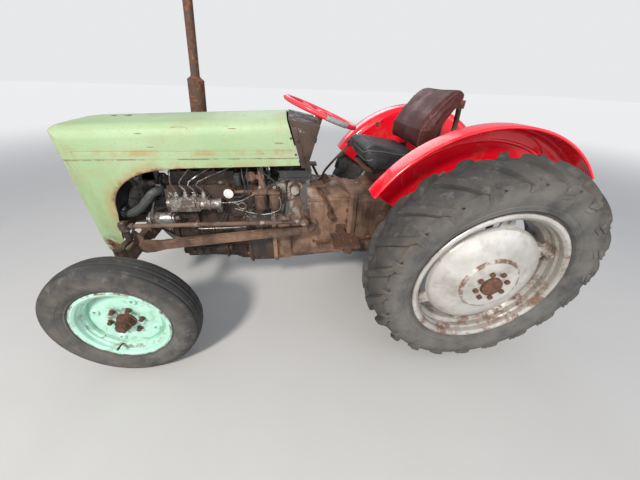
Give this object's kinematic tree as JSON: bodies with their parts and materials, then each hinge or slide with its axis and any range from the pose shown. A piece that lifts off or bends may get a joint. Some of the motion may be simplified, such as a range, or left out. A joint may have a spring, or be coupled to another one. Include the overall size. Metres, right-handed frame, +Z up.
{
  "type": "vintage light farm tractor",
  "caption": "Vintage light farm tractor with chevron-lug rear tyres, tilting bonnet over an open diesel engine, steered front axle and rear lift links.",
  "frame": {"origin": "on the floor, under the middle of the tractor's length and width", "axes": "+X forward, +Y to the driver's left, +Z up"},
  "size_m": [2.908, 1.532, 1.8389],
  "materials": {
    "bonnet_green": "satin, faded, rust along edges",
    "fender_red": "gloss",
    "front_rim_mint": "satin",
    "rear_wheel_silver": "satin, rusted at the lugs",
    "engine_brown": "matte, worn paint and grime",
    "engine_steel": "worn",
    "black_parts": "matte",
    "hose_rubber": "matte",
    "tyre_rubber": "matte, dusty",
    "rusty_steel": "matte rust",
    "seat_black": "semi-gloss",
    "seat_brown": "semi-gloss",
    "wheel_red": "satin, taped part worn",
    "grille_grey": "matte"
  },
  "bodies": {
    "chassis": {"engine_block": "engine_brown", "cylinder_head": "engine_brown", "injection_pump": "engine_steel", "fuel_filters": "engine_brown", "dynamo_and_fan": "engine_steel", "starter_motor": "engine_brown", "radiator": "black_parts", "radiator_hose": "hose_rubber", "fuel_tank": "black_parts", "battery": "black_parts", "exhaust": "rusty_steel", "front_bolster": "engine_brown", "front_axle": "engine_brown", "gearbox": "engine_brown", "rear_housing": "engine_brown", "axle_trumpets": "engine_brown", "footrests": "rusty_steel", "controls": "rusty_steel", "steering_box": "engine_brown", "dash_panel": "engine_brown", "fenders": "fender_red", "seat_frame": "rusty_steel", "seat_cushion": "seat_black", "seat_back": "seat_brown"},
    "bonnet": {"bonnet": "bonnet_green", "grille": "grille_grey"},
    "steering_wheel": {"steering_wheel": "wheel_red"},
    "knuckle_left": {"knuckle_left": "engine_brown"},
    "knuckle_right": {"knuckle_right": "engine_brown"},
    "front_wheel_left": {"front_rim_left": "front_rim_mint", "front_tyre_left": "tyre_rubber"},
    "front_wheel_right": {"front_rim_right": "front_rim_mint", "front_tyre_right": "tyre_rubber"},
    "rear_wheel_left": {"rear_wheel_left": "rear_wheel_silver", "rear_tyre_left": "tyre_rubber"},
    "rear_wheel_right": {"rear_wheel_right": "rear_wheel_silver", "rear_tyre_right": "tyre_rubber"},
    "drop_arm_left": {"drop_arm_left": "engine_brown"},
    "drop_arm_right": {"drop_arm_right": "engine_brown"},
    "drag_link_left": {"drag_link_left": "engine_brown"},
    "drag_link_right": {"drag_link_right": "engine_brown"},
    "lift_arms": {"lift_arms": "engine_brown"},
    "lift_rod_left": {"lift_rod_left": "rusty_steel"},
    "lift_rod_right": {"lift_rod_right": "rusty_steel"},
    "lower_link_left": {"lower_link_left": "rusty_steel"},
    "lower_link_right": {"lower_link_right": "rusty_steel"}
  },
  "joints": [
    {"name": "rear_axle_left", "type": "hinge", "parent": "chassis", "child": "rear_wheel_left", "pos_m": [-0.676, 0.612, 0.588], "axis": [0, 1, 0], "continuous": true},
    {"name": "rear_axle_right", "type": "hinge", "parent": "chassis", "child": "rear_wheel_right", "pos_m": [-0.676, -0.612, 0.588], "axis": [0, 1, 0], "continuous": true},
    {"name": "kingpin_left", "type": "hinge", "parent": "chassis", "child": "knuckle_left", "pos_m": [1.102, 0.455, 0.6], "axis": [0, 0, 1], "range_deg": [-35, 35]},
    {"name": "kingpin_right", "type": "hinge", "parent": "chassis", "child": "knuckle_right", "pos_m": [1.102, -0.455, 0.6], "axis": [0, 0, 1], "range_deg": [-35, 35]},
    {"name": "front_axle_left", "type": "hinge", "parent": "knuckle_left", "child": "front_wheel_left", "pos_m": [1.102, 0.596, 0.352], "axis": [0, 1, 0], "continuous": true},
    {"name": "front_axle_right", "type": "hinge", "parent": "knuckle_right", "child": "front_wheel_right", "pos_m": [1.102, -0.596, 0.352], "axis": [0, 1, 0], "continuous": true},
    {"name": "steering_column", "type": "hinge", "parent": "chassis", "child": "steering_wheel", "pos_m": [0.084, 0, 1.245], "axis": [-0.3535, 0, 0.9354], "range_deg": [-385.5, 385.5]},
    {"name": "drop_shaft_left", "type": "hinge", "parent": "chassis", "child": "drop_arm_left", "pos_m": [0.241, 0.222, 0.884], "axis": [0, 1, 0], "range_deg": [-16.5, 16.5]},
    {"name": "drop_shaft_right", "type": "hinge", "parent": "chassis", "child": "drop_arm_right", "pos_m": [0.241, -0.222, 0.884], "axis": [0, 1, 0], "range_deg": [-16.5, 16.5]},
    {"name": "drag_ball_left", "type": "hinge", "parent": "drop_arm_left", "child": "drag_link_left", "pos_m": [0.19053, 0.258, 0.69564], "axis": [0, 1, 0], "range_deg": [-16.5, 16.5]},
    {"name": "drag_ball_right", "type": "hinge", "parent": "drop_arm_right", "child": "drag_link_right", "pos_m": [0.19053, -0.258, 0.69564], "axis": [0, 1, 0], "range_deg": [-16.5, 16.5]},
    {"name": "bonnet_hinge", "type": "hinge", "parent": "chassis", "child": "bonnet", "pos_m": [1.287, 0, 0.565], "axis": [0, 1, 0], "range_deg": [0, 75]},
    {"name": "lift_shaft", "type": "hinge", "parent": "chassis", "child": "lift_arms", "pos_m": [-0.806, 0, 0.86], "axis": [0, 1, 0], "range_deg": [-28, 30]},
    {"name": "lift_rod_pin_left", "type": "hinge", "parent": "lift_arms", "child": "lift_rod_left", "pos_m": [-1.02386, 0.226, 0.82938], "axis": [0, 1, 0], "range_deg": [-33.1, 30.9]},
    {"name": "lift_rod_pin_right", "type": "hinge", "parent": "lift_arms", "child": "lift_rod_right", "pos_m": [-1.02386, -0.226, 0.82938], "axis": [0, 1, 0], "range_deg": [-33.1, 30.9]},
    {"name": "lower_link_pin_left", "type": "hinge", "parent": "chassis", "child": "lower_link_left", "pos_m": [-0.666, 0.222, 0.385], "axis": [0, 1, 0], "range_deg": [-20.9, 22.4]},
    {"name": "lower_link_pin_right", "type": "hinge", "parent": "chassis", "child": "lower_link_right", "pos_m": [-0.666, -0.222, 0.385], "axis": [0, 1, 0], "range_deg": [-20.9, 22.4]}
  ],
  "couplings": [
    {"joint": "kingpin_right", "follows": "kingpin_left", "ratio": 1},
    {"joint": "steering_column", "follows": "kingpin_left", "ratio": 11},
    {"joint": "drop_shaft_left", "follows": "kingpin_left", "ratio": -0.47},
    {"joint": "drop_shaft_right", "follows": "kingpin_left", "ratio": 0.47},
    {"joint": "drag_ball_left", "follows": "kingpin_left", "ratio": 0.47},
    {"joint": "drag_ball_right", "follows": "kingpin_left", "ratio": -0.47},
    {"joint": "lift_rod_pin_left", "follows": "lift_shaft", "ratio": -1.102},
    {"joint": "lift_rod_pin_right", "follows": "lift_shaft", "ratio": -1.102},
    {"joint": "lower_link_pin_left", "follows": "lift_shaft", "ratio": 0.743},
    {"joint": "lower_link_pin_right", "follows": "lift_shaft", "ratio": 0.743}
  ]
}
